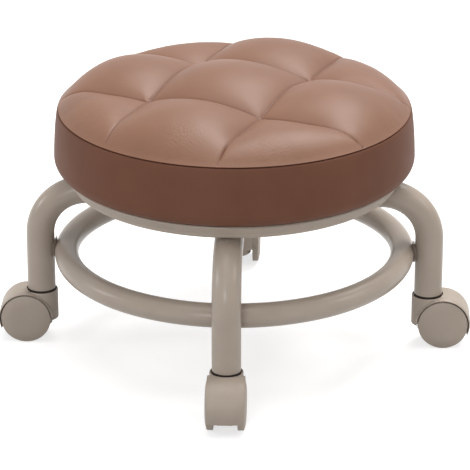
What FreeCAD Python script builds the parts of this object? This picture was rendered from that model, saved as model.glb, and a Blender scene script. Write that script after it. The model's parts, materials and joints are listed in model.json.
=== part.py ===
import FreeCAD
import Part
import math
import os

Vector = FreeCAD.Vector

# A low round stool on four swivelling twin-wheel casters, in millimetres.
# The origin is on the floor under the middle of the seat, +Z is up and -Y is the front.

# Wheels
WHEEL_RADIUS = 22.25
WHEEL_INNER_FACE = 10.5
WHEEL_RIM_FACE = 16.2
WHEEL_DOME_FACE = 17.5
WHEEL_EDGE_ROUND = 1.5
WHEEL_FLAT_RADIUS = 12.0
WHEEL_WALL = 2.0
HUB_RADIUS = 6.0
HUB_CAP_WALL = 1.6
AXLE_RADIUS = 3.0
AXLE_RUNNING_FIT = 0.05
AXLE_END_GAP = 0.4
SNAP_FACE = 12.0
SNAP_GROOVE_WIDTH = 1.6
SNAP_GROOVE_DEPTH = 0.5
SNAP_CLEARANCE = 0.15
CASTER_TRAIL = 13.6

# Caster hoods
WHEEL_GAP = 0.95
FENDER_WALL = 1.3
FENDER_HALF_WIDTH = 16.0
FENDER_EDGE_BLEND = 5.0
FENDER_EDGE_DROP = 0.7
FENDER_RIM_ROUND = 0.3
COLLAR_RADIUS = 14.5
COLLAR_WALL = 2.0
COLLAR_TOP_ROUND = 1.0
COLLAR_STEP_DOWN = 0.4
HOOD_ROOF = 4.5
WEB_HALF_WIDTH = 6.5
HUB_SIDE_GAP = 0.3
COLLAR_BOTTOM = 19.3
BOSS_RADIUS = 8.8
BOSS_BOTTOM = 9.4
BOSS_DOME = 4.2
HOOD_STEM_EDGE_HEIGHT = 25.5
HOOD_TAIL_EDGE_HEIGHT = 12.5
RECESS_GAP = 1.1
RECESS_DEPTH = 1.8

# Caster stems and the sockets that hold them in the legs
PIN_RADIUS = 3.5
PIN_RUNNING_FIT = 0.05
PIN_TIP_ROUND = 0.5
PIN_END_RISE = 3.0
STEM_RADIUS = 5.5
STEM_LENGTH = 36.0
STEM_TIP_CHAMFER = 1.0
STEM_COLLAR_RADIUS = 8.5
STEM_COLLAR_SINK = 1.2
STEM_COLLAR_SIDE_GAP = 0.5
SWIVEL_GAP = 0.3
CLIP_RADIUS = 4.8
CLIP_THICKNESS = 0.8
CLIP_GROOVE_DEPTH = 0.8
CLIP_SIDE_GAP = 0.4
CLIP_SLIT = 3.0
CLIP_SEAT_RISE = 3.0
GRIP_RING_RADIUS = 5.9
GRIP_RING_HEIGHT = 3.0
GRIP_RING_DROP = 6.0
GRIP_GROOVE_DEPTH = 0.7
GRIP_CLEARANCE = 0.2
GRIP_RING_SLIT = 2.0
SOCKET_FLANGE = 3.0
SOCKET_LIFT = 0.55
SOCKET_FIT = 0.05
STEM_FIT = 0.05
SOCKET_HEADROOM = 3.0

# Frame of bent tubes
LEG_DIAMETER = 25.0
LEG_WALL = 1.5
LEG_CIRCLE_RADIUS = 173.2
LEG_HEIGHT = 93.9
LEG_BEND_RADIUS = 42.0
COPE_START = 4.0
RING_DIAMETER = 21.0
RING_WALL = 1.2
RING_BEND_DROP = 13.1
RING_LEG_GAP = 0.9
WELD_GAP = 0.4
WELD_REACH = 2.5
CROSS_WELD_SPLIT = 2.0
CROSS_WELD_TOP_GAP = 1.5
PAN_WELD_START = 3.0
PAN_WELD_END = 7.0
PAN_WELD_LENGTH = 30.0
PAN_WELD_BEND_GAP = 12.5

# Pressed pan under the seat
PAN_WALL = 1.5
PAN_INSET = 18.2
PAN_FLARE = 9.5
PAN_CORNER = 4.0
PAN_RIM_GAP = 0.3
PAN_LIP_RADIUS = 1.2

# Board and its fasteners
BOARD_SIDE_GAP = 1.6
BOARD_THICKNESS = 12.0
SCREW_INSET = 41.0
SCREW_RADIUS = 3.0
SCREW_HEAD_RADIUS = 6.0
SCREW_HEAD_HEIGHT = 4.0
SCREW_SLOT_WIDTH = 1.4
SCREW_SLOT_DEPTH = 1.6
SCREW_TIP_REACH = 1.0
SCREW_HOLE_GAP = 0.4
WASHER_RADIUS = 8.0
WASHER_THICKNESS = 1.5
TEE_BARREL_RADIUS = 4.2
TEE_BARREL_LENGTH = 9.0
TEE_FLANGE_RADIUS = 9.5
TEE_FLANGE_THICKNESS = 1.4
STAPLE_COUNT = 24
STAPLE_CROWN = 10.0
STAPLE_WIDTH = 1.2
STAPLE_WIRE = 0.7
STAPLE_LEG = 8.0

# Cushion: a leather cover over foam
COVER_THICKNESS = 1.4
HEM_WIDTH = 16.0
STAPLE_INSET = 8.0
SEAT_RADIUS = 158.7
CORNER_RADIUS = 12.5
BULGE_RISE = 30.0
SIDE_HEIGHT = 54.5
SEAM_INSET = 4.2
EDGE_ROLL_WIDTH = 58.0
EDGE_ROLL_RISE = 30.5
EDGE_ROLL_MIDDLE_WIDTH = 24.5
EDGE_ROLL_MIDDLE_RISE = 19.9
QUILT_ANGLE = -22.0
QUILT_OFFSET = -3.8
QUILT_HALF_PITCH = 53.0
QUILT_MARGIN = 7.0
CENTRE_PUFF_RISE = 35.0
EDGE_PUFF_RISE = 27.4
CORNER_PUFF_RISE = 6.0
LINE_RISE = 22.4
CROSSING_RISE = 12.7
EDGE_LINE_RISE = 14.7
OUTER_PUFF_DROP = 6.0
OUTER_LINE_DROP = 9.0
OUTER_CORNER_PUFF_DROP = 15.0
OUTER_CORNER_DROP = 34.0

# Places along the height, from the floor up
AXLE_HEIGHT = WHEEL_RADIUS
FENDER_INNER_RADIUS = WHEEL_RADIUS + WHEEL_GAP
FENDER_OUTER_RADIUS = FENDER_INNER_RADIUS + FENDER_WALL
HOOD_TOP = AXLE_HEIGHT + FENDER_OUTER_RADIUS
COLLAR_TOP = HOOD_TOP - COLLAR_STEP_DOWN
RECESS_FLOOR = COLLAR_TOP - RECESS_DEPTH
SOCKET_BOTTOM = RECESS_FLOOR + SOCKET_LIFT
LEG_END = SOCKET_BOTTOM + SOCKET_FLANGE
RUN_HEIGHT = LEG_END + LEG_HEIGHT
RING_HEIGHT = RUN_HEIGHT - LEG_BEND_RADIUS - RING_BEND_DROP
PAN_BOTTOM = RUN_HEIGHT + LEG_DIAMETER / 2
PAN_FLOOR_TOP = PAN_BOTTOM + PAN_WALL
BOARD_BOTTOM = PAN_FLOOR_TOP + COVER_THICKNESS
BOARD_TOP = BOARD_BOTTOM + BOARD_THICKNESS
CUSHION_BOTTOM = BOARD_TOP - COVER_THICKNESS
SEAM_HEIGHT = CUSHION_BOTTOM + SIDE_HEIGHT
CUSHION_CEILING = SEAM_HEIGHT + CENTRE_PUFF_RISE + EDGE_ROLL_RISE

# Sizes that follow from the driving ones
SEAM_RADIUS = SEAT_RADIUS - SEAM_INSET
QUILT_REACH = SEAT_RADIUS + QUILT_MARGIN
PAN_FLOOR_RADIUS = SEAT_RADIUS - PAN_INSET
PAN_RIM_RADIUS = PAN_FLOOR_RADIUS + PAN_FLARE
PAN_TOP = CUSHION_BOTTOM - PAN_RIM_GAP
BOARD_RADIUS = PAN_FLOOR_RADIUS - PAN_WALL - COVER_THICKNESS - BOARD_SIDE_GAP
SCREW_CIRCLE_RADIUS = BOARD_RADIUS - SCREW_INSET
PAN_WELD_END_PLACE = LEG_CIRCLE_RADIUS - LEG_BEND_RADIUS - PAN_WELD_BEND_GAP
LEG_RADIUS = LEG_DIAMETER / 2
LEG_BORE_RADIUS = LEG_RADIUS - LEG_WALL
RING_RADIUS = RING_DIAMETER / 2
RING_CIRCLE_RADIUS = LEG_CIRCLE_RADIUS - LEG_RADIUS - RING_LEG_GAP - RING_RADIUS
HUB_FACE = WEB_HALF_WIDTH + HUB_SIDE_GAP
DISC_INNER_FACE = WHEEL_RIM_FACE - WHEEL_WALL
HUB_BORE_END = WHEEL_DOME_FACE - HUB_CAP_WALL
AXLE_END = HUB_BORE_END - AXLE_END_GAP
STEM_TOP = SOCKET_BOTTOM + STEM_LENGTH
STEM_SEAT = RECESS_FLOOR - STEM_COLLAR_SINK
STEM_COLLAR_BOTTOM = STEM_SEAT + SWIVEL_GAP
PIN_END = BOSS_BOTTOM + PIN_END_RISE
CLIP_SEAT = PIN_END + CLIP_SEAT_RISE
CLIP_TOP = CLIP_SEAT - SWIVEL_GAP
CLIP_BOTTOM = CLIP_TOP - CLIP_THICKNESS
CLIP_BORE_RADIUS = PIN_RADIUS - CLIP_GROOVE_DEPTH
GRIP_RING_TOP = STEM_TOP - GRIP_RING_DROP
GRIP_RING_BOTTOM = GRIP_RING_TOP - GRIP_RING_HEIGHT
GRIP_RING_BORE_RADIUS = STEM_RADIUS - GRIP_GROOVE_DEPTH
SOCKET_TOP = STEM_TOP + SOCKET_HEADROOM
STAPLE_CIRCLE_RADIUS = BOARD_RADIUS - STAPLE_INSET

# Compass places of the legs: name, direction angle in degrees, names of the two wheels' sides
LEGS = [
    ("front", 270, ("right", "left")),
    ("right", 0, ("rear", "front")),
    ("rear", 90, ("left", "right")),
    ("left", 180, ("front", "rear")),
]
SCREW_ANGLES = [45, 135, 225, 315]

# Share of a shallow arc's rise that is reached half way along it
ARC_MIDDLE_SHARE = 0.75

Z_AXIS = Vector(0, 0, 1)
Y_AXIS = Vector(0, 1, 0)
X_AXIS = Vector(1, 0, 0)
ORIGIN = Vector(0, 0, 0)


# Shared helpers

def outline_edges(steps, to_point):
    """Edges through steps: a pair is a straight line to it, a pair of pairs is an arc by its first."""
    edges = []
    here = to_point(*steps[0])
    for step in steps[1:]:
        if isinstance(step[0], tuple):
            middle = to_point(*step[0])
            there = to_point(*step[1])
            edges.append(Part.Arc(here, middle, there).toShape())
        else:
            there = to_point(*step)
            edges.append(Part.LineSegment(here, there).toShape())
        here = there
    return edges


def turned(steps):
    """Solid of revolution about Z of a closed outline of (radius, height) steps."""
    edges = outline_edges(steps + [steps[0]], lambda radius, height: Vector(radius, 0, height))
    return Part.Face(Part.Wire(edges)).revolve(ORIGIN, Z_AXIS, 360)


def turned_about_y(steps):
    """Solid of revolution about Y of a closed outline of (distance along Y, radius) steps."""
    edges = outline_edges(steps + [steps[0]], lambda along, radius: Vector(radius, along, 0))
    return Part.Face(Part.Wire(edges)).revolve(ORIGIN, Y_AXIS, 360)


def arc_step(centre, radius, start_angle, end_angle):
    """Arc step about a centre, with its angles in degrees from the first axis."""
    def at(angle):
        turn = math.radians(angle)
        return (centre[0] + radius * math.cos(turn), centre[1] + radius * math.sin(turn))
    return (at((start_angle + end_angle) / 2), at(end_angle))


def upright(radius, bottom, top, x=0.0, y=0.0):
    return Part.makeCylinder(radius, top - bottom, Vector(x, y, bottom), Z_AXIS)


def block(x_range, y_range, z_range):
    size = [high - low for low, high in (x_range, y_range, z_range)]
    return Part.makeBox(size[0], size[1], size[2], Vector(x_range[0], y_range[0], z_range[0]))


def slit_ring(inner, outer, bottom, top, slit):
    """Flat ring with a slit across it on the +X side."""
    ring = upright(outer, bottom, top).cut(upright(inner, bottom, top))
    return ring.cut(block((0, 2 * outer), (-slit / 2, slit / 2), (bottom, top)))


def at_leg(shape, angle):
    """Copy of a shape modelled about a leg's axis, with +X outwards, at the leg of that angle."""
    placed = shape.copy()
    placed.translate(Vector(LEG_CIRCLE_RADIUS, 0, 0))
    placed.rotate(ORIGIN, Z_AXIS, angle)
    return placed


def spun(shape, angle):
    """Copy of a shape turned about the seat's axis."""
    placed = shape.copy()
    placed.rotate(ORIGIN, Z_AXIS, angle)
    return placed


def save(name, shape):
    shape.exportStep("parts/" + name + ".step")


# Casters, modelled about the leg's axis with the wheels trailing towards +X

def to_axle(shape):
    placed = shape.copy()
    placed.translate(Vector(CASTER_TRAIL, 0, AXLE_HEIGHT))
    return placed


def make_wheel():
    """Cup wheel on the +Y side: domed disc, tread, and a blind hub that snaps on the axle."""
    bore = AXLE_RADIUS + AXLE_RUNNING_FIT
    ridge = AXLE_RADIUS - SNAP_GROOVE_DEPTH + SNAP_CLEARANCE
    ridge_half = SNAP_GROOVE_WIDTH / 2 - SNAP_CLEARANCE
    edge = WHEEL_EDGE_ROUND
    edge_centre = (WHEEL_RIM_FACE - edge, WHEEL_RADIUS - edge)
    dome_edge = (WHEEL_RIM_FACE, WHEEL_RADIUS - edge)
    dome_rise = WHEEL_DOME_FACE - WHEEL_RIM_FACE
    dome_middle = (WHEEL_RIM_FACE + ARC_MIDDLE_SHARE * dome_rise, (dome_edge[1] + WHEEL_FLAT_RADIUS) / 2)
    steps = [
        (HUB_FACE, bore),
        (HUB_FACE, HUB_RADIUS),
        (DISC_INNER_FACE, HUB_RADIUS),
        (DISC_INNER_FACE, WHEEL_RADIUS - WHEEL_WALL),
        (WHEEL_INNER_FACE, WHEEL_RADIUS - WHEEL_WALL),
        (WHEEL_INNER_FACE, WHEEL_RADIUS),
        (edge_centre[0], WHEEL_RADIUS),
        arc_step(edge_centre, edge, 90, 0),
        (dome_middle, (WHEEL_DOME_FACE, WHEEL_FLAT_RADIUS)),
        (WHEEL_DOME_FACE, 0),
        (HUB_BORE_END, 0),
        (HUB_BORE_END, bore),
        (SNAP_FACE + ridge_half, bore),
        (SNAP_FACE + ridge_half, ridge),
        (SNAP_FACE - ridge_half, ridge),
        (SNAP_FACE - ridge_half, bore),
    ]
    return to_axle(turned_about_y(steps))


def make_axle():
    """Plain pin with a snap groove near each end."""
    groove = AXLE_RADIUS - SNAP_GROOVE_DEPTH
    half = SNAP_GROOVE_WIDTH / 2
    steps = [(-AXLE_END, 0), (-AXLE_END, AXLE_RADIUS)]
    for face in (-SNAP_FACE, SNAP_FACE):
        steps += [
            (face - half, AXLE_RADIUS),
            (face - half, groove),
            (face + half, groove),
            (face + half, AXLE_RADIUS),
        ]
    steps += [(AXLE_END, AXLE_RADIUS), (AXLE_END, 0)]
    return to_axle(turned_about_y(steps))


def make_fender():
    """Crowned drum about the axle, which the wheel pockets hollow out later."""
    rim = FENDER_RIM_ROUND
    edge_radius = FENDER_OUTER_RADIUS - FENDER_EDGE_DROP
    edge_half = FENDER_HALF_WIDTH - rim
    flat_half = FENDER_HALF_WIDTH - FENDER_EDGE_BLEND
    blend_middle = (edge_half + flat_half) / 2
    blend_radius = edge_radius + ARC_MIDDLE_SHARE * FENDER_EDGE_DROP
    steps = [
        (-FENDER_HALF_WIDTH, 0),
        (-FENDER_HALF_WIDTH, edge_radius - rim),
        arc_step((-edge_half, edge_radius - rim), rim, 180, 90),
        ((-blend_middle, blend_radius), (-flat_half, FENDER_OUTER_RADIUS)),
        (flat_half, FENDER_OUTER_RADIUS),
        ((blend_middle, blend_radius), (edge_half, edge_radius)),
        arc_step((edge_half, edge_radius - rim), rim, 90, 0),
        (FENDER_HALF_WIDTH, 0),
    ]
    return to_axle(turned_about_y(steps))


def below_edge(steps):
    """Everything under an edge line of (x, height) steps, as far as the hood reaches."""
    reach = CASTER_TRAIL + FENDER_OUTER_RADIUS + COLLAR_RADIUS
    outline = [(-reach, -reach), (reach, -reach), (reach, steps[-1][1])]
    outline += steps[::-1] + [(-reach, steps[0][1])]
    edges = outline_edges(outline + [outline[0]], lambda x, height: Vector(x, -reach, height))
    return Part.Face(Part.Wire(edges)).extrude(Vector(0, 2 * reach, 0))


def make_boss():
    """Round boss under the collar, with a domed end."""
    dome_radius = (BOSS_RADIUS ** 2 + BOSS_DOME ** 2) / (2 * BOSS_DOME)
    dome_turn = math.degrees(math.asin(BOSS_RADIUS / dome_radius))
    return turned([
        (0, BOSS_BOTTOM),
        arc_step((0, BOSS_BOTTOM + dome_radius), dome_radius, -90, dome_turn - 90),
        (BOSS_RADIUS, COLLAR_TOP - COLLAR_TOP_ROUND),
        (0, COLLAR_TOP - COLLAR_TOP_ROUND),
    ])


def make_hood():
    """Moulded hood: collar and boss round the stem, fender over both wheels, and a web between them."""
    round_centre = (COLLAR_RADIUS - COLLAR_TOP_ROUND, COLLAR_TOP - COLLAR_TOP_ROUND)
    collar = turned([
        (0, COLLAR_BOTTOM),
        (COLLAR_RADIUS, COLLAR_BOTTOM),
        (COLLAR_RADIUS, round_centre[1]),
        arc_step(round_centre, COLLAR_TOP_ROUND, 0, 90),
        (0, COLLAR_TOP),
    ])
    boss = make_boss()
    tail = CASTER_TRAIL + FENDER_OUTER_RADIUS
    reach = tail + COLLAR_RADIUS
    web_width = (-WEB_HALF_WIDTH, WEB_HALF_WIDTH)
    web = block((-reach, reach), web_width, (0, HOOD_TOP))
    shell_edge = [(-COLLAR_RADIUS, HOOD_STEM_EDGE_HEIGHT), (tail, HOOD_TAIL_EDGE_HEIGHT)]
    web_edge = [(0, BOSS_BOTTOM + BOSS_DOME), (tail, HOOD_TAIL_EDGE_HEIGHT)]
    fender = make_fender().cut(below_edge(shell_edge).cut(web)).cut(below_edge(web_edge))
    fender = fender.cut(block((-reach, 0), web_width, (0, COLLAR_BOTTOM)))
    kept = web.fuse(boss)
    hollow = upright(COLLAR_RADIUS - COLLAR_WALL, 0, COLLAR_TOP - HOOD_ROOF).cut(kept)
    drum = Part.makeCylinder(FENDER_INNER_RADIUS, 2 * reach, Vector(0, -reach, 0), Y_AXIS)
    hood = collar.fuse([fender, boss]).cut(hollow).cut(to_axle(drum).cut(kept))
    hood = hood.cut(upright(LEG_RADIUS + RECESS_GAP, RECESS_FLOOR, HOOD_TOP + RECESS_DEPTH))
    hood = hood.cut(upright(STEM_COLLAR_RADIUS + STEM_COLLAR_SIDE_GAP, STEM_SEAT, RECESS_FLOOR))
    hood = hood.cut(upright(PIN_RADIUS + PIN_RUNNING_FIT, 0, HOOD_TOP))
    hood = hood.cut(upright(CLIP_RADIUS + CLIP_SIDE_GAP, 0, CLIP_SEAT))
    axle_hole = Part.makeCylinder(AXLE_RADIUS, 2 * reach, Vector(0, -reach, 0), Y_AXIS)
    return hood.cut(to_axle(axle_hole)).removeSplitter()


def make_stem():
    """Turned stem: swivel pin below its collar, plain shank with a grip groove above."""
    return turned([
        (0, PIN_END),
        (PIN_RADIUS - PIN_TIP_ROUND, PIN_END),
        (PIN_RADIUS, PIN_END + PIN_TIP_ROUND),
        (PIN_RADIUS, CLIP_BOTTOM),
        (CLIP_BORE_RADIUS, CLIP_BOTTOM),
        (CLIP_BORE_RADIUS, CLIP_TOP),
        (PIN_RADIUS, CLIP_TOP),
        (PIN_RADIUS, STEM_COLLAR_BOTTOM),
        (STEM_COLLAR_RADIUS, STEM_COLLAR_BOTTOM),
        (STEM_COLLAR_RADIUS, SOCKET_BOTTOM),
        (STEM_RADIUS, SOCKET_BOTTOM),
        (STEM_RADIUS, GRIP_RING_BOTTOM),
        (GRIP_RING_BORE_RADIUS, GRIP_RING_BOTTOM),
        (GRIP_RING_BORE_RADIUS, GRIP_RING_TOP),
        (STEM_RADIUS, GRIP_RING_TOP),
        (STEM_RADIUS, STEM_TOP - STEM_TIP_CHAMFER),
        (STEM_RADIUS - STEM_TIP_CHAMFER, STEM_TOP),
        (0, STEM_TOP),
    ])


def make_socket():
    """Plastic sleeve pushed into the leg's end, with a flange under the tube."""
    bore = STEM_RADIUS + STEM_FIT
    grip_bore = GRIP_RING_RADIUS + GRIP_CLEARANCE
    body = LEG_BORE_RADIUS - SOCKET_FIT
    return turned([
        (bore, SOCKET_BOTTOM),
        (LEG_RADIUS, SOCKET_BOTTOM),
        (LEG_RADIUS, LEG_END),
        (body, LEG_END),
        (body, SOCKET_TOP),
        (bore, SOCKET_TOP),
        (bore, GRIP_RING_TOP + GRIP_CLEARANCE),
        (grip_bore, GRIP_RING_TOP + GRIP_CLEARANCE),
        (grip_bore, GRIP_RING_BOTTOM - GRIP_CLEARANCE),
        (bore, GRIP_RING_BOTTOM - GRIP_CLEARANCE),
    ])


def make_casters():
    hood = make_hood()
    axle = make_axle()
    wheel = make_wheel()
    stem = make_stem()
    socket = make_socket()
    grip_ring = slit_ring(
        GRIP_RING_BORE_RADIUS, GRIP_RING_RADIUS, GRIP_RING_BOTTOM, GRIP_RING_TOP, GRIP_RING_SLIT
    )
    clip = slit_ring(CLIP_BORE_RADIUS, CLIP_RADIUS, CLIP_BOTTOM, CLIP_TOP, CLIP_SLIT)
    mirrored_wheel = wheel.mirror(ORIGIN, Y_AXIS)
    grip_rings = []
    clips = []
    for place, angle, wheel_sides in LEGS:
        save(place + "_caster_hood", at_leg(hood, angle))
        save(place + "_caster_axle", at_leg(axle, angle))
        save(place + "_caster_" + wheel_sides[0] + "_wheel", at_leg(wheel, angle))
        save(place + "_caster_" + wheel_sides[1] + "_wheel", at_leg(mirrored_wheel, angle))
        save(place + "_caster_stem", at_leg(stem, angle))
        save(place + "_leg_socket", at_leg(socket, angle))
        grip_rings.append(at_leg(grip_ring, angle))
        clips.append(at_leg(clip, angle))
    save("stem_grip_rings", Part.makeCompound(grip_rings))
    save("stem_clips", Part.makeCompound(clips))


# Frame of bent tubes

def bent_bar(radius, run_start):
    """Round bar up the +X leg, round its bend and along the run to run_start."""
    turn_x = LEG_CIRCLE_RADIUS - LEG_BEND_RADIUS
    turn_z = RUN_HEIGHT - LEG_BEND_RADIUS
    post = upright(radius, LEG_END, turn_z, LEG_CIRCLE_RADIUS)
    section = Part.Face(Part.Wire(Part.makeCircle(radius, Vector(LEG_CIRCLE_RADIUS, 0, turn_z), Z_AXIS)))
    bend = section.revolve(Vector(turn_x, 0, turn_z), Vector(0, -1, 0), 90)
    run = Part.makeCylinder(radius, turn_x - run_start, Vector(run_start, 0, RUN_HEIGHT), X_AXIS)
    return post.fuse([bend, run])


def make_hoop():
    """Front and rear legs as one tube, bent into an arch."""
    def arch(radius):
        half = bent_bar(radius, 0)
        return spun(half, 270).fuse(spun(half, 90))
    return arch(LEG_RADIUS).cut(arch(LEG_BORE_RADIUS)).removeSplitter()


def run_along_y(radius):
    return Part.makeCylinder(
        radius, 2 * LEG_CIRCLE_RADIUS, Vector(0, -LEG_CIRCLE_RADIUS, RUN_HEIGHT), Y_AXIS
    )


def make_half_leg():
    """Side leg whose run is coped to the arch's tube."""
    tube = bent_bar(LEG_RADIUS, COPE_START).cut(bent_bar(LEG_BORE_RADIUS, COPE_START))
    return tube.cut(run_along_y(LEG_RADIUS + WELD_GAP)).removeSplitter()


def make_ring():
    centre = Vector(0, 0, RING_HEIGHT)
    outer = Part.makeTorus(RING_CIRCLE_RADIUS, RING_RADIUS, centre, Z_AXIS)
    inner = Part.makeTorus(RING_CIRCLE_RADIUS, RING_RADIUS - RING_WALL, centre, Z_AXIS)
    return outer.cut(inner)


def make_ring_weld():
    """Bead between the ring and the +X leg."""
    centre = Vector(0, 0, RING_HEIGHT)
    near_ring = Part.makeTorus(RING_CIRCLE_RADIUS, RING_RADIUS + WELD_REACH, centre, Z_AXIS)
    ring = Part.makeTorus(RING_CIRCLE_RADIUS, RING_RADIUS, centre, Z_AXIS)
    bottom = RING_HEIGHT - RING_DIAMETER
    top = RING_HEIGHT + RING_DIAMETER
    near_leg = upright(LEG_RADIUS + WELD_REACH, bottom, top, LEG_CIRCLE_RADIUS)
    leg = upright(LEG_RADIUS, bottom, top, LEG_CIRCLE_RADIUS)
    return near_leg.cut(leg).common(near_ring).cut(ring)


def make_cross_weld():
    """Bead round the coped end of the +X leg's run, clear of the pan above."""
    reach = LEG_RADIUS + WELD_REACH
    near_run = Part.makeCylinder(
        reach, 2 * reach, Vector(CROSS_WELD_SPLIT, 0, RUN_HEIGHT), X_AXIS
    )
    run = Part.makeCylinder(LEG_RADIUS, 2 * reach, Vector(0, 0, RUN_HEIGHT), X_AXIS)
    bead_top = PAN_BOTTOM - CROSS_WELD_TOP_GAP
    under_pan = block((0, 2 * reach), (-reach, reach), (RUN_HEIGHT - reach, bead_top))
    bead = near_run.common(run_along_y(reach)).common(under_pan)
    return bead.cut(run_along_y(LEG_RADIUS)).cut(run)


def make_pan_weld():
    """Pair of beads along the +X leg's run, where it carries the pan."""
    along = (PAN_WELD_END_PLACE - PAN_WELD_LENGTH, PAN_WELD_END_PLACE)
    height = (RUN_HEIGHT, PAN_BOTTOM)
    one_side = block(along, (PAN_WELD_START, PAN_WELD_END), height)
    other_side = block(along, (-PAN_WELD_END, -PAN_WELD_START), height)
    tube = bent_bar(LEG_RADIUS, COPE_START)
    return [one_side.cut(tube), other_side.cut(tube)]


def make_frame():
    half_leg = make_half_leg()
    save("leg_arch", make_hoop())
    save("right_leg", half_leg)
    save("left_leg", spun(half_leg, 180))
    save("brace_ring", make_ring())
    ring_weld = make_ring_weld()
    cross_weld = make_cross_weld()
    pan_weld = make_pan_weld()
    angles = [angle for place, angle, sides in LEGS]
    save("ring_welds", Part.makeCompound([spun(ring_weld, angle) for angle in angles]))
    save("cross_welds", Part.makeCompound([spun(cross_weld, angle) for angle in (0, 180)]))
    save("pan_welds", Part.makeCompound([spun(bead, angle) for angle in angles for bead in pan_weld]))


# Pan, board and fasteners

def pan_form(inset):
    """Dish of the pan's outline, drawn in by inset on its floor and wall."""
    floor = PAN_BOTTOM + inset
    corner_start = (PAN_FLOOR_RADIUS - inset, floor)
    corner_end = (PAN_FLOOR_RADIUS + PAN_CORNER - inset, floor + PAN_CORNER)
    lean = PAN_CORNER * math.sqrt(0.5)
    corner_middle = (corner_start[0] + lean, corner_end[1] - lean)
    rim = (PAN_RIM_RADIUS - inset, PAN_TOP)
    return turned([
        (0, floor),
        corner_start,
        (corner_middle, corner_end),
        rim,
        (0, rim[1]),
    ])


def make_pan():
    """Pressed dish with a rolled lip and four screw holes."""
    lip_centre = Vector(0, 0, PAN_TOP - PAN_LIP_RADIUS)
    lip = Part.makeTorus(PAN_RIM_RADIUS - PAN_WALL / 2, PAN_LIP_RADIUS, lip_centre, Z_AXIS)
    pan = pan_form(0).cut(pan_form(PAN_WALL)).fuse(lip)
    for angle in SCREW_ANGLES:
        hole = upright(SCREW_RADIUS + SCREW_HOLE_GAP, PAN_BOTTOM, PAN_FLOOR_TOP, SCREW_CIRCLE_RADIUS)
        pan = pan.cut(spun(hole, angle))
    return pan.removeSplitter()


def at_screws(shape):
    return [spun(shape, angle) for angle in SCREW_ANGLES]


def make_screw():
    """Slotted screw from under the pan up through the tee nut."""
    head_top = PAN_BOTTOM - WASHER_THICKNESS
    head_bottom = head_top - SCREW_HEAD_HEIGHT
    tip = BOARD_TOP + TEE_FLANGE_THICKNESS + SCREW_TIP_REACH
    screw = upright(SCREW_HEAD_RADIUS, head_bottom, head_top, SCREW_CIRCLE_RADIUS)
    screw = screw.fuse(upright(SCREW_RADIUS, head_top, tip, SCREW_CIRCLE_RADIUS))
    slot_x = (SCREW_CIRCLE_RADIUS - SCREW_HEAD_RADIUS, SCREW_CIRCLE_RADIUS + SCREW_HEAD_RADIUS)
    slot_y = (-SCREW_SLOT_WIDTH / 2, SCREW_SLOT_WIDTH / 2)
    return screw.cut(block(slot_x, slot_y, (head_bottom, head_bottom + SCREW_SLOT_DEPTH)))


def make_washer():
    bottom = PAN_BOTTOM - WASHER_THICKNESS
    disc = upright(WASHER_RADIUS, bottom, PAN_BOTTOM, SCREW_CIRCLE_RADIUS)
    return disc.cut(upright(SCREW_RADIUS + SCREW_HOLE_GAP, bottom, PAN_BOTTOM, SCREW_CIRCLE_RADIUS))


def make_tee_nut():
    """Flange on the board's top and a barrel down into it."""
    top = BOARD_TOP + TEE_FLANGE_THICKNESS
    nut = upright(TEE_FLANGE_RADIUS, BOARD_TOP, top, SCREW_CIRCLE_RADIUS)
    barrel_end = BOARD_TOP - TEE_BARREL_LENGTH
    nut = nut.fuse(upright(TEE_BARREL_RADIUS, barrel_end, BOARD_TOP, SCREW_CIRCLE_RADIUS))
    return nut.cut(upright(SCREW_RADIUS, BOARD_BOTTOM, top, SCREW_CIRCLE_RADIUS))


def make_staples():
    """Ring of staples that hold the cover's hem to the board."""
    half_width = STAPLE_WIDTH / 2
    half_crown = STAPLE_CROWN / 2
    across = (STAPLE_CIRCLE_RADIUS - half_width, STAPLE_CIRCLE_RADIUS + half_width)
    crown_top = PAN_FLOOR_TOP + STAPLE_WIRE
    crown = block(across, (-half_crown, half_crown), (PAN_FLOOR_TOP, crown_top))
    leg_height = (crown_top, crown_top + STAPLE_LEG)
    near_leg = block(across, (-half_crown, -half_crown + STAPLE_WIRE), leg_height)
    far_leg = block(across, (half_crown - STAPLE_WIRE, half_crown), leg_height)
    staple = crown.fuse([near_leg, far_leg]).removeSplitter()
    return [spun(staple, index * 360.0 / STAPLE_COUNT) for index in range(STAPLE_COUNT)]


def make_board(staples, screw_hole):
    board = upright(BOARD_RADIUS, BOARD_BOTTOM, BOARD_TOP)
    return board.cut(staples + at_screws(screw_hole))


# Cushion

def side_steps(inset):
    """Steps up the cushion's side from under its lower corner to the seam, drawn in by inset."""
    corner_centre = (SEAT_RADIUS - CORNER_RADIUS, CUSHION_BOTTOM + CORNER_RADIUS)
    corner = arc_step(corner_centre, CORNER_RADIUS - inset, -90, 0)
    bulge = (SEAT_RADIUS - inset, CUSHION_BOTTOM + BULGE_RISE)
    seam = (SEAM_RADIUS - inset, SEAM_HEIGHT)
    bulge_to_seam = (seam[0] + ARC_MIDDLE_SHARE * SEAM_INSET, (bulge[1] + seam[1]) / 2)
    return [
        (corner_centre[0], CUSHION_BOTTOM + inset),
        corner,
        bulge,
        (bulge_to_seam, seam),
    ]


def cushion_envelope(inset):
    """Round body of the cushion, with a rolled edge above the seam."""
    roll_end = (SEAM_RADIUS - EDGE_ROLL_WIDTH, SEAM_HEIGHT + EDGE_ROLL_RISE - inset)
    lean = inset * math.sqrt(0.5)
    roll_middle = (
        SEAM_RADIUS - EDGE_ROLL_MIDDLE_WIDTH - lean,
        SEAM_HEIGHT + EDGE_ROLL_MIDDLE_RISE - lean,
    )
    return turned(
        [(0, CUSHION_BOTTOM + inset)]
        + side_steps(inset)
        + [(roll_middle, roll_end), (roll_end[0], CUSHION_CEILING), (0, CUSHION_CEILING)]
    )


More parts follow.
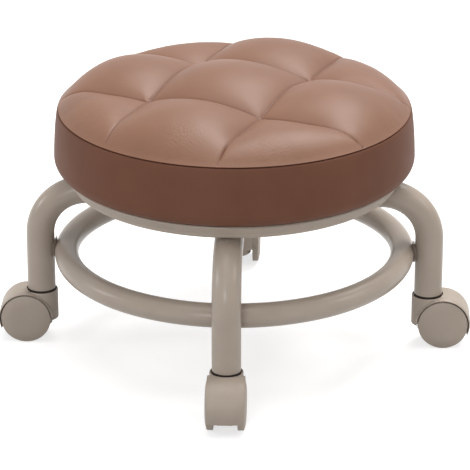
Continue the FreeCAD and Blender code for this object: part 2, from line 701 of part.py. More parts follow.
def quilt_section(across, rises, inset):
    """Closed outline across the quilt: three puffs on top, flat below."""
    edge_rise, outer_puff_rise, line_rise, middle_puff_rise = rises
    middle_outer = (QUILT_REACH + QUILT_HALF_PITCH) / 2
    top = [
        (-QUILT_REACH, edge_rise),
        ((-middle_outer, outer_puff_rise), (-QUILT_HALF_PITCH, line_rise)),
        ((0, middle_puff_rise), (QUILT_HALF_PITCH, line_rise)),
        ((middle_outer, outer_puff_rise), (QUILT_REACH, edge_rise)),
    ]
    base = CUSHION_BOTTOM - SEAM_HEIGHT
    steps = top + [(QUILT_REACH, base), (-QUILT_REACH, base), top[0]]
    level = SEAM_HEIGHT - inset
    return Part.Wire(outline_edges(steps, lambda along, rise: Vector(along, across, level + rise)))


def quilted_block(inset):
    """Block whose top has three by three puffs between sewn lines."""
    outer_middle = (QUILT_REACH + QUILT_HALF_PITCH) / 2
    outside = (-OUTER_CORNER_DROP, -OUTER_CORNER_PUFF_DROP, -OUTER_LINE_DROP, -OUTER_PUFF_DROP)
    edge_puffs = (-OUTER_CORNER_PUFF_DROP, CORNER_PUFF_RISE, EDGE_LINE_RISE, EDGE_PUFF_RISE)
    sewn_line = (-OUTER_LINE_DROP, EDGE_LINE_RISE, CROSSING_RISE, LINE_RISE)
    middle_puffs = (-OUTER_PUFF_DROP, EDGE_PUFF_RISE, LINE_RISE, CENTRE_PUFF_RISE)
    bands = [
        [(-QUILT_REACH, outside), (-outer_middle, edge_puffs), (-QUILT_HALF_PITCH, sewn_line)],
        [(-QUILT_HALF_PITCH, sewn_line), (0, middle_puffs), (QUILT_HALF_PITCH, sewn_line)],
        [(QUILT_HALF_PITCH, sewn_line), (outer_middle, edge_puffs), (QUILT_REACH, outside)],
    ]
    lofts = []
    for band in bands:
        wires = [quilt_section(across, rises, inset) for across, rises in band]
        lofts.append(Part.makeLoft(wires, True, False))
    quilt = spun(lofts[0].fuse(lofts[1:]), QUILT_ANGLE)
    quilt.translate(Vector(QUILT_OFFSET, 0, 0))
    return quilt


def cushion_form(inset):
    return cushion_envelope(inset).common(quilted_block(inset))


def make_side_band(staples):
    """Leather wall from the seam down, round the corner, over the board's edge and under it."""
    outer = side_steps(0)
    inner = side_steps(COVER_THICKNESS)
    wrap = BOARD_RADIUS + COVER_THICKNESS
    wall = cushion_ring(outer, wrap).cut(cushion_ring(inner, 0))
    edge = upright(wrap, PAN_FLOOR_TOP, BOARD_TOP).cut(upright(BOARD_RADIUS, BOARD_BOTTOM, BOARD_TOP))
    hem_bore = upright(BOARD_RADIUS - HEM_WIDTH, PAN_FLOOR_TOP, BOARD_TOP)
    return wall.fuse(edge.cut(hem_bore)).removeSplitter().cut(staples)


def cushion_ring(side, bore):
    """Solid under the seam inside a side outline, with a round bore."""
    return turned([(bore, side[0][1])] + side + [(bore, SEAM_HEIGHT)])


def make_seat():
    staples = make_staples()
    tee_nut = make_tee_nut()
    tee_hole = upright(TEE_BARREL_RADIUS, BOARD_BOTTOM, BOARD_TOP, SCREW_CIRCLE_RADIUS)
    flange_top = BOARD_TOP + TEE_FLANGE_THICKNESS
    tip_top = flange_top + SCREW_TIP_REACH
    flange_room = upright(TEE_FLANGE_RADIUS, BOARD_TOP, flange_top, SCREW_CIRCLE_RADIUS)
    tip_room = upright(SCREW_RADIUS, flange_top, tip_top, SCREW_CIRCLE_RADIUS)
    foam = cushion_form(COVER_THICKNESS)
    above_seam = upright(2 * SEAT_RADIUS, SEAM_HEIGHT, CUSHION_CEILING)
    top_panel = cushion_form(0).cut(foam).common(above_seam)
    save("seat_top_panel", top_panel)
    save("seat_side_band", make_side_band(staples))
    save("seat_foam", foam.cut(at_screws(flange_room) + at_screws(tip_room)))
    save("seat_board", make_board(staples, tee_hole))
    save("cover_staples", Part.makeCompound(staples))
    save("seat_pan", make_pan())
    save("seat_screws", Part.makeCompound(at_screws(make_screw())))
    save("seat_washers", Part.makeCompound(at_screws(make_washer())))
    save("board_tee_nuts", Part.makeCompound(at_screws(tee_nut)))


os.makedirs("parts", exist_ok=True)
make_casters()
make_frame()
make_seat()
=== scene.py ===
"""Low rolling stool: its cushion, finishes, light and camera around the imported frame, in metres."""

import json
import math

import bpy
import numpy as np
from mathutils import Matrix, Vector, geometry, noise


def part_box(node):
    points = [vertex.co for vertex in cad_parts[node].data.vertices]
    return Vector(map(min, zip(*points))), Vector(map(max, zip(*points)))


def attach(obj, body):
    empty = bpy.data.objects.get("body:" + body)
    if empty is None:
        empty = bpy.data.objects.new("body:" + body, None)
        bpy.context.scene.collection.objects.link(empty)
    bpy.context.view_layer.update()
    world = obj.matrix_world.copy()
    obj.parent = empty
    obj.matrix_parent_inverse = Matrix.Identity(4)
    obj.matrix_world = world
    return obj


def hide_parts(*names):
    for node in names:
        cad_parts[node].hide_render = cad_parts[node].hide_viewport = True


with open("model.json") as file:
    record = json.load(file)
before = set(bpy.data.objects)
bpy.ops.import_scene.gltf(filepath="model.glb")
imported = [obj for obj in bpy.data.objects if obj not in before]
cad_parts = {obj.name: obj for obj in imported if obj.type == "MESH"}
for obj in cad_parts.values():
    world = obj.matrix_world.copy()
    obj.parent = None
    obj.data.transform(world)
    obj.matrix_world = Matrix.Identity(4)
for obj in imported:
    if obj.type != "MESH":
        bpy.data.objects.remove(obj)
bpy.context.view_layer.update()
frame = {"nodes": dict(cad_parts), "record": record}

# Camera that sees the stool as in the photograph
CAMERA_AZIMUTH = math.radians(2.23)
CAMERA_ELEVATION = math.radians(22.03)
CAMERA_DISTANCE = 2.6818
CAMERA_TARGET_HEIGHT = 0.10016
CAMERA_SIDE_SHIFT = 0.00049
CAMERA_LENS = 230.8
CAMERA_SENSOR = 36.0

# Light
WORLD_LIGHT = 0.43
FLOOR_SIZE = 9.0
FLOOR_LIFT = 0.68
FLOOR_DARK = (0.50, 0.50, 0.50)
FLOOR_LIGHT = (0.52, 0.52, 0.52)

# Distant lights: name, azimuth, elevation, strength, width in degrees, colour
SUNS = (
    ("back_softbox", 152, 63, 2.85, 36, (1.0, 0.99, 0.975)),
    ("top_softbox", 340, 82, 0.8, 40, (1.0, 0.99, 0.975)),
    ("front_softbox", 349, 18, 0.82, 16, (0.99, 0.99, 1.0)),
    ("left_softbox", 272, 18, 0.62, 14, (0.985, 0.99, 1.0)),
    ("right_softbox", 84, 32, 0.5, 14, (1.0, 0.955, 0.90)),
)

# Colours, each as a dark and a light shade that mottle together
SHADE_LOW = 0.3
SHADE_HIGH = 0.7
TOP_LEATHER = ((0.178, 0.085, 0.051), (0.202, 0.098, 0.060))
# Side wall leather: the top's leather painted darker, as painted shade on the upright wall that faces away
# from the light above.
SIDE_LEATHER_SHADED = ((0.124, 0.053, 0.033), (0.139, 0.061, 0.038))
PAINT = ((0.325, 0.271, 0.225), (0.351, 0.295, 0.246))
# Near black of the leg sockets: black plastic, made this dark partly as painted shade in the gap round each
# leg end.
BLACK_SOCKET_AND_GAP_SHADE = ((0.011, 0.008, 0.006), (0.017, 0.012, 0.009))
STEEL = ((0.52, 0.52, 0.53), (0.66, 0.66, 0.65))
WOOD = ((0.42, 0.29, 0.16), (0.62, 0.46, 0.28))

# Quilted top
QUILT_ANGLE = math.radians(-22.0)
QUILT_SHIFT = -0.0038
QUILT_HALF_PITCH = 0.053
QUILT_OUTER_REACH = 0.082
PUFF_POWER = 2.0
CROWN_RISE = 0.0326
CROWN_POWER = 5.67
CROWN_ROUND = 1.1
CENTRE_RISE = 0.0017
CENTRE_REACH = 0.075
LINE_DEPTH = 0.0120
CROSSING_DEPTH = 0.0087
LINE_FADE_REACH = 0.0496
CREASE_DEPTH = 0.0017
CREASE_WIDTH = 0.0007
# Painted shade along the sewn lines: how far the leather darkens there, and the dark colour it darkens to.
CREASE_SHADE = 0.95
CREASE_SHADE_COLOR = (0.078, 0.018, 0.005)
CREASE_FADE_REACH = 0.006
CREASE_STRENGTH = 0.6
FOLD_SPOTS = ((0.1115, -0.1038), (-0.004, -0.140))
FOLD_REACH = 0.013
FOLD_FADE_REACH = 0.0015
UNEVEN_RISE = 0.0007
UNEVEN_SCALE = 26.0
UNEVEN_LAYER = 0.3
PINCH_RISE = 0.0006
PINCH_REACH = 0.012
PINCH_FOLDS = 7
PINCH_TURN_ALONG = 40
PINCH_TURN_ACROSS = 90
WRINKLE_SPOTS = (
    (-0.039, -0.127, math.radians(-58)),
    (0.036, -0.137, math.radians(50)),
)
WRINKLE_REACH = 0.030
WRINKLE_SHARPNESS = 8.0
WRINKLE_STRETCH = (1.3, 0.42, 0.6)

# Mesh of the quilted top
LINE_KNOTS = (0.0, 0.0007, 0.0015, 0.0025, 0.0038, 0.0055, 0.0078, 0.0105)
KNOT_STEP = 0.0028
KNOT_DIGITS = 5
EDGE_CLEARANCE = 0.0012
MERGE_DISTANCE = 1e-7
RIM_TOLERANCE = 1e-5

# Cloth run that swells the puffs
SWELL_PRESSURE = 160.0
SWELL_STIFFNESS = 1.5
SWELL_BENDING = 0.1
SWELL_FRAMES = 20
SWELL_QUALITY = 5
SWELL_CAP = 0.0025
HELD_GAIN = 3
SMALLEST_MOVE = 1e-9

# Seam and side wall
SEAM_INSET = 0.0042
SEAM_TUCK = 0.0018
# Reach of the painted shade in the seam gap, inward from the seam.
SEAM_SHADE_REACH = 0.0003
RING_STEPS = 480
EDGE_RINGS = (0.00012, 0.0005, 0.0011, 0.0019, 0.0029, 0.0041)
HIDDEN_LEDGE = 0.004
SHOULDER_RADIUS = 0.0016
SHOULDER_INSET = 0.0008
SHOULDER_DROP = 0.0009
SHOULDER_TURNS = np.radians(np.linspace(120, 10, 9))
WALL_SHARES = np.linspace(0.05, 1, 26)
WALL_LEAN_POWER = 0.8
CORNER_RADIUS = 0.012
CORNER_TURNS = np.radians(np.linspace(4, 88, 16))
UNDERSIDE_REACH = 0.012
UNDERSIDE_RISE = 0.0003
WAVE_RISE = 0.0007
WAVE_ROUND_SCALE = 2.2
WAVE_HEIGHT_SCALE = 18.0
PAN_GAP = 0.0003

band_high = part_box("seat_side_band")[1]
pan_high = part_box("seat_pan")[1]
SEAT_RADIUS = band_high[0]
SEAM_HEIGHT = band_high[2]
SEAM_RADIUS = SEAT_RADIUS - SEAM_INSET
SIDE_BOTTOM = pan_high[2] + PAN_GAP


# Mesh helpers

def add_mesh(name, points, faces):
    """New smooth-shaded object from points and faces."""
    mesh = bpy.data.meshes.new(name)
    mesh.from_pydata([tuple(point) for point in points], [], faces)
    mesh.update()
    mesh.polygons.foreach_set("use_smooth", [True] * len(mesh.polygons))
    thing = bpy.data.objects.new(name, mesh)
    bpy.context.scene.collection.objects.link(thing)
    return thing


def ring_points(radius, height):
    """Points round a level circle."""
    angles = np.linspace(0, 2 * math.pi, RING_STEPS, endpoint=False)
    return np.column_stack([radius * np.cos(angles), radius * np.sin(angles), np.full(RING_STEPS, height)])


def ring_faces(first, second):
    """Quads between two rings of points that start at those indices."""
    faces = []
    for step in range(RING_STEPS):
        after = (step + 1) % RING_STEPS
        faces.append((first + step, first + after, second + after, second + step))
    return faces


# Quilted top of the cushion

def quilt_places(x, y):
    """Place of a point along and across the sewn lines."""
    shifted = x - QUILT_SHIFT
    along = math.cos(QUILT_ANGLE) * shifted + math.sin(QUILT_ANGLE) * y
    across = -math.sin(QUILT_ANGLE) * shifted + math.cos(QUILT_ANGLE) * y
    return along, across


def line_pull(place):
    """How strongly the two sewn lines of one direction hold a place down, from 0 to 1."""
    away = np.abs(place)
    inner = (away / QUILT_HALF_PITCH) ** PUFF_POWER
    outer_share = np.clip(1 - (away - QUILT_HALF_PITCH) / QUILT_OUTER_REACH, 0, 1)
    return np.where(away < QUILT_HALF_PITCH, inner, outer_share ** PUFF_POWER)


def smooth_step(share):
    """Eased share from 0 to 1."""
    share = np.clip(share, 0, 1)
    return share * share * (3 - 2 * share)


def crease(x, y):
    """How near a point is to a sewn line, from 0 to 1: fading at the seam, strongest at the folds."""
    along, across = quilt_places(x, y)
    off_along = np.abs(np.abs(along) - QUILT_HALF_PITCH)
    off_across = np.abs(np.abs(across) - QUILT_HALF_PITCH)
    line = np.exp(-np.minimum(off_along, off_across) / CREASE_WIDTH)
    inset = SEAM_RADIUS - np.hypot(x, y)
    strength = CREASE_STRENGTH * smooth_step(inset / CREASE_FADE_REACH)
    for fold_x, fold_y in FOLD_SPOTS:
        near = np.exp(-((x - fold_x) ** 2 + (y - fold_y) ** 2) / FOLD_REACH ** 2)
        strength = np.maximum(strength, near * smooth_step(inset / FOLD_FADE_REACH))
    return line * strength


def top_rise(x, y):
    """Height of the quilted top above the seam."""
    radius = np.hypot(x, y)
    crown = CROWN_RISE * np.clip(1 - (radius / SEAM_RADIUS) ** CROWN_POWER, 0, 1) ** CROWN_ROUND
    crown += CENTRE_RISE * np.exp(-(radius / CENTRE_REACH) ** 2)
    along, across = quilt_places(x, y)
    pull_a = line_pull(along)
    pull_b = line_pull(across)
    both = pull_a * pull_b
    fade = smooth_step((SEAM_RADIUS - radius) / LINE_FADE_REACH)
    held = LINE_DEPTH * (pull_a + pull_b - both) + CROSSING_DEPTH * both
    pinch = np.zeros_like(x)
    for a in (-QUILT_HALF_PITCH, QUILT_HALF_PITCH):
        for b in (-QUILT_HALF_PITCH, QUILT_HALF_PITCH):
            distance = np.hypot(along - a, across - b)
            turn = np.arctan2(across - b, along - a)
            phase = PINCH_TURN_ALONG * a + PINCH_TURN_ACROSS * b
            pinch += np.exp(-distance / PINCH_REACH) * np.cos(PINCH_FOLDS * turn + phase)
    uneven = np.array([
        noise.noise(Vector((u, v, UNEVEN_LAYER)) * UNEVEN_SCALE) for u, v in zip(x, y)
    ])
    loose = PINCH_RISE * pinch + UNEVEN_RISE * uneven
    return crown - fade * (held - loose) - CREASE_DEPTH * crease(x, y)


def quilt_knots(limit):
    """Places across the quilt, close together at the sewn lines."""
    knots = set()
    for line in (-QUILT_HALF_PITCH, QUILT_HALF_PITCH):
        for off in LINE_KNOTS:
            knots.update((round(line - off, KNOT_DIGITS), round(line + off, KNOT_DIGITS)))
    reach = LINE_KNOTS[-1]
    coarse_spans = (
        (-limit, -QUILT_HALF_PITCH - reach),
        (-QUILT_HALF_PITCH + reach, QUILT_HALF_PITCH - reach),
        (QUILT_HALF_PITCH + reach, limit),
    )
    for low, high in coarse_spans:
        count = int((high - low) / KNOT_STEP)
        knots.update(round(value, KNOT_DIGITS) for value in np.linspace(low, high, count))
    return np.array(sorted(knots))


def swell(thing, held):
    """Puff a form up by a short cloth run, where held is 1 on points that stay and 0 on free ones."""
    group = thing.vertex_groups.new(name="held")
    for index, weight in enumerate(held):
        group.add([index], float(weight), "REPLACE")
    cloth = thing.modifiers.new("swell", "CLOTH")
    cloth.settings.quality = SWELL_QUALITY
    cloth.settings.tension_stiffness = SWELL_STIFFNESS
    cloth.settings.compression_stiffness = SWELL_STIFFNESS
    cloth.settings.shear_stiffness = SWELL_STIFFNESS
    cloth.settings.bending_stiffness = SWELL_BENDING
    cloth.settings.use_pressure = True
    cloth.settings.uniform_pressure_force = SWELL_PRESSURE
    cloth.settings.effector_weights.gravity = 0
    cloth.settings.vertex_group_mass = group.name
    cloth.point_cache.frame_start = 1
    cloth.point_cache.frame_end = SWELL_FRAMES
    scene = bpy.context.scene
    for step in range(1, SWELL_FRAMES + 1):
        scene.frame_set(step)
    count = len(thing.data.vertices)
    before = np.empty(count * 3)
    after = np.empty(count * 3)
    thing.data.vertices.foreach_get("co", before)
    shaped = thing.evaluated_get(bpy.context.evaluated_depsgraph_get())
    shaped.data.vertices.foreach_get("co", after)
    thing.modifiers.remove(cloth)
    thing.vertex_groups.remove(group)
    scene.frame_set(1)
    move = (after - before).reshape(-1, 3)
    length = np.linalg.norm(move, axis=1)
    share = np.minimum(1, SWELL_CAP / np.maximum(length, SMALLEST_MOVE))
    thing.data.vertices.foreach_set("co", before + (move * share[:, None]).ravel())
    thing.data.update()


def make_cushion_top():
    """Closed quilted form from the seam up, with its edge tucked into the seam."""
    knots = quilt_knots(SEAM_RADIUS + abs(QUILT_SHIFT))
    along, across = [grid.ravel() for grid in np.meshgrid(knots, knots)]
    x = math.cos(QUILT_ANGLE) * along - math.sin(QUILT_ANGLE) * across + QUILT_SHIFT
    y = math.sin(QUILT_ANGLE) * along + math.cos(QUILT_ANGLE) * across
    inside = np.hypot(x, y) < SEAM_RADIUS - EDGE_RINGS[-1] - EDGE_CLEARANCE
    flat = [np.column_stack([x[inside], y[inside]])]
    for inset in EDGE_RINGS[::-1] + (0.0,):
        flat.append(ring_points(SEAM_RADIUS - inset, 0)[:, :2])
    flat = np.vstack(flat)
    net = geometry.delaunay_2d_cdt([Vector(point) for point in flat], [], [], 0, MERGE_DISTANCE)
    plan = np.array([tuple(point) for point in net[0]])
    points = np.column_stack([plan, SEAM_HEIGHT + top_rise(plan[:, 0], plan[:, 1])])
    faces = [tuple(face) for face in net[2]]
    rim = np.where(np.hypot(plan[:, 0], plan[:, 1]) > SEAM_RADIUS - RIM_TOLERANCE)[0]
    rim = rim[np.argsort(np.arctan2(plan[rim, 1], plan[rim, 0]) % (2 * math.pi))]
    inward = 1 - SEAM_TUCK / SEAM_RADIUS
    tuck = points[rim] * np.array([inward, inward, 1])
    tuck[:, 2] -= SEAM_TUCK / 2
    first = len(points)
    points = np.vstack([points, tuck])
    count = len(rim)
    for step in range(count):
        after = (step + 1) % count
        faces.append((rim[after], rim[step], first + step, first + after))
    faces.append(tuple(range(first + count - 1, first - 1, -1)))
    thing = add_mesh("cushion_top", points, faces)
    sewn = crease(points[:, 0], points[:, 1])
    radius = np.hypot(points[:, 0], points[:, 1])
    painted_seam_shade = radius > SEAM_RADIUS - SEAM_SHADE_REACH
    painted_seam_shade[first:] = True
    # Painted shade: this attribute darkens the leather along the sewn lines and in the seam gap, where
    # shade falls; it also makes those places rougher.
    marks = thing.data.attributes.new("crease", "FLOAT", "POINT")
    marks.data.foreach_set("value", np.maximum(sewn, painted_seam_shade))
    at_edge = radius > SEAM_RADIUS - EDGE_RINGS[-1]
    at_edge[first:] = True
    swell(thing, np.maximum(at_edge, np.clip(sewn * HELD_GAIN, 0, 1)))
    return thing


# Side wall of the cushion

def side_profile():
    """Steps of (radius, height) from the tucked upper edge down to the pan."""
    tucked_radius = SEAM_RADIUS - SEAM_TUCK
    tucked_height = SEAM_HEIGHT - SEAM_TUCK / 2
    steps = [(tucked_radius - HIDDEN_LEDGE, tucked_height), (tucked_radius, tucked_height)]
    for turn in SHOULDER_TURNS:
        steps.append((
            SEAM_RADIUS - SHOULDER_INSET + SHOULDER_RADIUS * math.cos(turn),
            SEAM_HEIGHT - SHOULDER_DROP - SHOULDER_RADIUS * (1 - math.sin(turn)),
        ))
    start_radius, start_height = steps[-1]
    corner_height = SIDE_BOTTOM + CORNER_RADIUS
    for share in WALL_SHARES:
        lean = math.sin(share * math.pi / 2) ** WALL_LEAN_POWER
        steps.append((
            start_radius + (SEAT_RADIUS - start_radius) * lean,
            start_height + (corner_height - start_height) * share,
        ))
    for turn in CORNER_TURNS:
        steps.append((
            SEAT_RADIUS - CORNER_RADIUS * (1 - math.cos(turn)),
            corner_height - CORNER_RADIUS * math.sin(turn),
        ))
    steps.append((steps[-1][0] - UNDERSIDE_REACH, SIDE_BOTTOM + UNDERSIDE_RISE))
    return steps


def side_wave(turn, height):
    """Soft unevenness of the side wall, from -1 to 1."""
    place = Vector((
        math.cos(turn) * WAVE_ROUND_SCALE,
        math.sin(turn) * WAVE_ROUND_SCALE,
        height * WAVE_HEIGHT_SCALE,
    ))
    return noise.noise(place)


def make_cushion_side():
    """Closed ring of the side wall, from the seam down and round under the lower corner."""
    profile = side_profile()
    rings = [ring_points(radius, height) for radius, height in profile]
    points = np.vstack(rings)
    turns = np.arctan2(points[:, 1], points[:, 0])
    heights = points[:, 2]
    middle = np.sin(np.pi * np.clip((heights - SIDE_BOTTOM) / (SEAM_HEIGHT - SIDE_BOTTOM), 0, 1))
    wave = np.array([side_wave(turn, height) for turn, height in zip(turns, heights)])
    scale = 1 + WAVE_RISE * middle * wave / SEAT_RADIUS
    points[:, :2] *= scale[:, None]
    faces = []
    for index in range(len(profile) - 1):
        faces += ring_faces((index + 1) * RING_STEPS, index * RING_STEPS)
    faces += ring_faces(0, (len(profile) - 1) * RING_STEPS)
    return add_mesh("cushion_side", points, faces)


# Materials, all of them procedural

class Look:
    """Material under construction: adds shader nodes and links them."""

    def __init__(self, name):
        self.material = bpy.data.materials.new(name)
        self.material.use_nodes = True
        self.tree = self.material.node_tree
        self.shader = self.tree.nodes["Principled BSDF"]
        self.place = self.add("ShaderNodeTexCoord").outputs["Object"]

    def add(self, kind, **sockets):
        """Node of that kind, with plain values set and sockets linked."""
        node = self.tree.nodes.new(kind)
        for name, value in sockets.items():
            self.feed(node, name.replace("_", " "), value)
        return node

    def feed(self, node, socket, value):
        """Link a socket, given by name or number, or set its plain value."""
        if isinstance(value, bpy.types.NodeSocket):
            self.tree.links.new(value, node.inputs[socket])
        else:
            node.inputs[socket].default_value = value

    def noise(self, scale, detail, roughness=0.55, place=None):
        """Strength of a noise pattern."""
        place = place or self.place
        node = self.add("ShaderNodeTexNoise", Vector=place, Scale=scale, Detail=detail, Roughness=roughness)
        return node.outputs["Fac"]

    def stretch(self, scale):
        """Place scaled by its own factor along each axis."""
        return self.add("ShaderNodeMapping", Vector=self.place, Scale=scale).outputs["Vector"]

    def shades(self, value, colors):
        """Blend from the dark colour to the light one."""
        node = self.add("ShaderNodeValToRGB", Fac=value)
        for element, position, color in zip(node.color_ramp.elements, (SHADE_LOW, SHADE_HIGH), colors):
            element.position = position
            element.color = (*color, 1)
        return node.outputs["Color"]

    def span(self, value, low, high):
        """Value from 0 to 1 moved to the range from low to high."""
        return self.add("ShaderNodeMapRange", Value=value, To_Min=low, To_Max=high).outputs["Result"]

    def math(self, operation, first, second):
        """Result of one calculation with two values."""
        node = self.tree.nodes.new("ShaderNodeMath")
        node.operation = operation
        self.feed(node, 0, first)
        self.feed(node, 1, second)
        return node.outputs[0]

    def bump(self, height, strength, distance, before=None):
        """Normal that a height pattern bends, on top of an earlier one."""
        node = self.add("ShaderNodeBump", Height=height, Strength=strength, Distance=distance)
        if before is not None:
            self.feed(node, "Normal", before)
        return node.outputs["Normal"]

    def finish(self, **sockets):
        """The material, with those sockets of its shader fed."""
        for name, value in sockets.items():
            self.feed(self.shader, name.replace("_", " "), value)
        return self.material


def leather_grain(look):
    """Normal of the leather's pores, fine grain and faint wrinkles all over."""
    cells = look.add("ShaderNodeTexVoronoi", Vector=look.place, Scale=900.0)
    cells.feature = "DISTANCE_TO_EDGE"
    pores = look.bump(cells.outputs["Distance"], strength=0.10, distance=0.0004)
    grain = look.bump(look.noise(scale=520.0, detail=5.0, roughness=0.6), 0.12, 0.0005, pores)
    folds = look.noise(scale=150.0, detail=3.0, roughness=0.5, place=look.stretch((1.0, 2.2, 1.6)))
    patches = look.span(look.noise(scale=16.0, detail=2.0), low=-1.2, high=2.0)
    wrinkles = look.math("MULTIPLY", folds, look.math("MAXIMUM", patches, 0.0))
    return look.bump(wrinkles, strength=0.10, distance=0.0012, before=grain)


def wrinkle_patch(look, spot, slant, before):
    """Normal of one patch of slanted wrinkles, on top of an earlier one."""
    turn = (0, 0, slant)
    slanted = look.add("ShaderNodeMapping", Vector=look.place, Rotation=turn, Scale=WRINKLE_STRETCH)
    slanted.vector_type = "TEXTURE"
    ripple = look.noise(scale=210.0, detail=2.0, roughness=0.5, place=slanted.outputs["Vector"])
    off_line = look.math("ABSOLUTE", look.math("SUBTRACT", ripple, 0.5), 0.0)
    creased = look.math("MINIMUM", look.math("MULTIPLY", off_line, WRINKLE_SHARPNESS), 1.0)
    away = look.add("ShaderNodeVectorMath")
    away.operation = "DISTANCE"
    look.feed(away, 0, look.place)
    look.feed(away, 1, spot)
    near = look.add(
        "ShaderNodeMapRange", Value=away.outputs["Value"], From_Max=WRINKLE_REACH, To_Min=1.0, To_Max=0.0,
    )
    near.interpolation_type = "SMOOTHSTEP"
    patch = look.math("MULTIPLY", creased, near.outputs["Result"])
    return look.bump(patch, strength=0.20, distance=0.0008, before=before)


def leather(name, colors, rough, gloss):
    """Grained upholstery leather with soft mottling and wrinkles, darkened along the creases and the seam
    as painted shade.
    """
    look = Look(name)
    color = look.shades(look.noise(scale=22.0, detail=5.0), colors)
    sewn = look.add("ShaderNodeAttribute")
    sewn.attribute_name = "crease"
    # Painted shade: mix the leather towards the dark crease colour along the sewn lines and the seam.
    painted_crease_shade = look.math("MULTIPLY", sewn.outputs["Fac"], CREASE_SHADE)
    shaded = look.add("ShaderNodeMixRGB", Fac=painted_crease_shade, Color1=color, Color2=(*CREASE_SHADE_COLOR, 1))
    normal = leather_grain(look)
    for spot_x, spot_y, slant in WRINKLE_SPOTS:
        spot = (spot_x, spot_y, SEAM_HEIGHT + CROWN_RISE / 2)
        normal = wrinkle_patch(look, spot, slant, normal)
    dullness = look.span(look.noise(scale=60.0, detail=3.0), *rough)
    dullness = look.math("MAXIMUM", dullness, sewn.outputs["Fac"])
    return look.finish(
        Base_Color=shaded.outputs["Color"], Roughness=dullness, Normal=normal, Specular_IOR_Level=gloss,
    )


def coating(name, colors, rough, gloss, peel_scale, peel_strength):
    """Satin paint or moulded plastic with a faint surface texture."""
    look = Look(name)
    color = look.shades(look.noise(scale=35.0, detail=4.0), colors)
    normal = look.bump(look.noise(scale=peel_scale, detail=3.0), peel_strength, distance=0.0003)
    dullness = look.span(look.noise(scale=90.0, detail=3.0), *rough)
    return look.finish(Base_Color=color, Roughness=dullness, Normal=normal, Specular_IOR_Level=gloss)


def bright_steel(name):
    """Zinc plated steel with fine drawn marks."""
    look = Look(name)
    marks = look.noise(scale=400.0, detail=4.0, roughness=0.6, place=look.stretch((1.0, 1.0, 12.0)))
    dullness = look.span(marks, low=0.26, high=0.42)
    return look.finish(Base_Color=look.shades(marks, STEEL), Metallic=1.0, Roughness=dullness)


def plywood(name):
    """Pale wood with long grain along X."""
    look = Look(name)
    grain = look.noise(scale=4.0, detail=6.0, roughness=0.6, place=look.stretch((3.0, 60.0, 60.0)))
    dullness = look.span(grain, low=0.6, high=0.8)
    return look.finish(Base_Color=look.shades(grain, WOOD), Roughness=dullness)


def make_looks():
    """Material of each slot that shows, by the slot's name."""
    looks = {
        "top_leather": leather("top_leather", TOP_LEATHER, rough=(0.42, 0.50), gloss=0.32),
        # The side wall takes the darker leather colours, painted shade on the upright wall.
        "side_leather": leather("side_leather", SIDE_LEATHER_SHADED, rough=(0.50, 0.60), gloss=0.09),
        "bright_steel": bright_steel("bright_steel"),
        "plywood": plywood("plywood"),
    }
    # Coatings: slot, colours, range of roughness, gloss, scale and strength of the surface texture
    coatings = (
        ("frame_paint", PAINT, (0.26, 0.33), 0.28, 900.0, 0.05),
        ("pan_paint", PAINT, (0.38, 0.46), 0.28, 800.0, 0.06),
        ("caster_plastic", PAINT, (0.42, 0.50), 0.30, 1500.0, 0.08),
        ("wheel_plastic", PAINT, (0.42, 0.50), 0.30, 1500.0, 0.08),
        # Leg sockets: black plastic that also stands for painted shade in the gap at each leg end.
        ("socket_plastic", BLACK_SOCKET_AND_GAP_SHADE, (0.5, 0.6), 0.3, 1500.0, 0.08),
    )
    for slot, *values in coatings:
        looks[slot] = coating(slot, *values)
    return looks


# Floor, light and camera

def seen_share(tree):
    """1 for rays that show a surface, also in a gloss or through glass, and 0 for rays that light it."""
    path = tree.nodes.new("ShaderNodeLightPath")
    share = path.outputs["Is Camera Ray"]
    for kind in ("Is Glossy Ray", "Is Transmission Ray"):
        either = tree.nodes.new("ShaderNodeMath")
        either.operation = "MAXIMUM"
        tree.links.new(share, either.inputs[0])
        tree.links.new(path.outputs[kind], either.inputs[1])
        share = either.outputs[0]
    return share


def make_floor():
    """Pale floor that reads as white, with the stool's soft shadow on it."""
    half = FLOOR_SIZE / 2
    corners = [(-half, -half, 0), (half, -half, 0), (half, half, 0), (-half, half, 0)]
    floor = add_mesh("floor", corners, [(0, 1, 2, 3)])
    look = Look("floor_white")
    color = look.shades(look.noise(scale=3.0, detail=2.0), (FLOOR_DARK, FLOOR_LIGHT))
    seen = seen_share(look.tree)
    floor.data.materials.append(look.finish(
        Base_Color=color, Roughness=1.0, Specular_IOR_Level=0.0, Emission_Color=(1, 1, 1, 1),
        Emission_Strength=look.math("MULTIPLY", seen, FLOOR_LIFT),
    ))


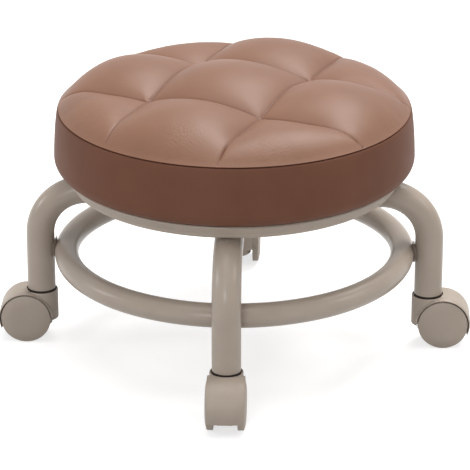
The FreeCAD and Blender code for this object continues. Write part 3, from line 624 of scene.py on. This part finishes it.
def make_world():
    """White for the camera, softer as a light."""
    world = bpy.data.worlds.new("studio")
    bpy.context.scene.world = world
    world.use_nodes = True
    tree = world.node_tree
    background = tree.nodes["Background"]
    background.inputs["Color"].default_value = (1, 1, 1, 1)
    seen = seen_share(tree)
    strength = tree.nodes.new("ShaderNodeMapRange")
    strength.inputs["To Min"].default_value = WORLD_LIGHT
    strength.inputs["To Max"].default_value = 1.0
    tree.links.new(seen, strength.inputs["Value"])
    tree.links.new(strength.outputs["Result"], background.inputs["Strength"])


def add_sun(name, azimuth, elevation, strength, width, color):
    """Distant light from that side and height, in degrees; width is how soft it is."""
    data = bpy.data.lights.new(name, "SUN")
    data.energy = strength
    data.angle = math.radians(width)
    data.color = color
    lamp = bpy.data.objects.new(name, data)
    turn = math.radians(azimuth)
    lift = math.radians(elevation)
    towards = Vector((math.sin(turn) * math.cos(lift), -math.cos(turn) * math.cos(lift), math.sin(lift)))
    lamp.rotation_euler = towards.to_track_quat("Z", "Y").to_euler()
    bpy.context.scene.collection.objects.link(lamp)


def make_camera():
    """Camera at its fitted place, aimed at the stool."""
    data = bpy.data.cameras.new("camera")
    data.lens = CAMERA_LENS
    data.sensor_width = CAMERA_SENSOR
    camera = bpy.data.objects.new("camera", data)
    across = math.cos(CAMERA_ELEVATION)
    back = Vector((
        math.sin(CAMERA_AZIMUTH) * across,
        -math.cos(CAMERA_AZIMUTH) * across,
        math.sin(CAMERA_ELEVATION),
    ))
    right = Vector((math.cos(CAMERA_AZIMUTH), math.sin(CAMERA_AZIMUTH), 0))
    target = Vector((0, 0, CAMERA_TARGET_HEIGHT)) + CAMERA_SIDE_SHIFT * right
    camera.location = target + CAMERA_DISTANCE * back
    camera.rotation_euler = back.to_track_quat("Z", "Y").to_euler()
    bpy.context.scene.collection.objects.link(camera)
    bpy.context.scene.camera = camera


# Putting it together

looks = make_looks()
for part in frame["record"]["subparts"]:
    node = frame["nodes"][part["node"]]
    if part["material_slot"] in looks:
        node.data.materials.clear()
        node.data.materials.append(looks[part["material_slot"]])

cushion_top = make_cushion_top()
cushion_top.data.materials.append(looks["top_leather"])
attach(cushion_top, "frame")
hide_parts("seat_top_panel", "seat_foam")

cushion_side = make_cushion_side()
cushion_side.data.materials.append(looks["side_leather"])
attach(cushion_side, "frame")
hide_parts("seat_side_band")

make_floor()
make_world()
for sun in SUNS:
    add_sun(*sun)
make_camera()
bpy.context.scene.view_settings.view_transform = "Standard"
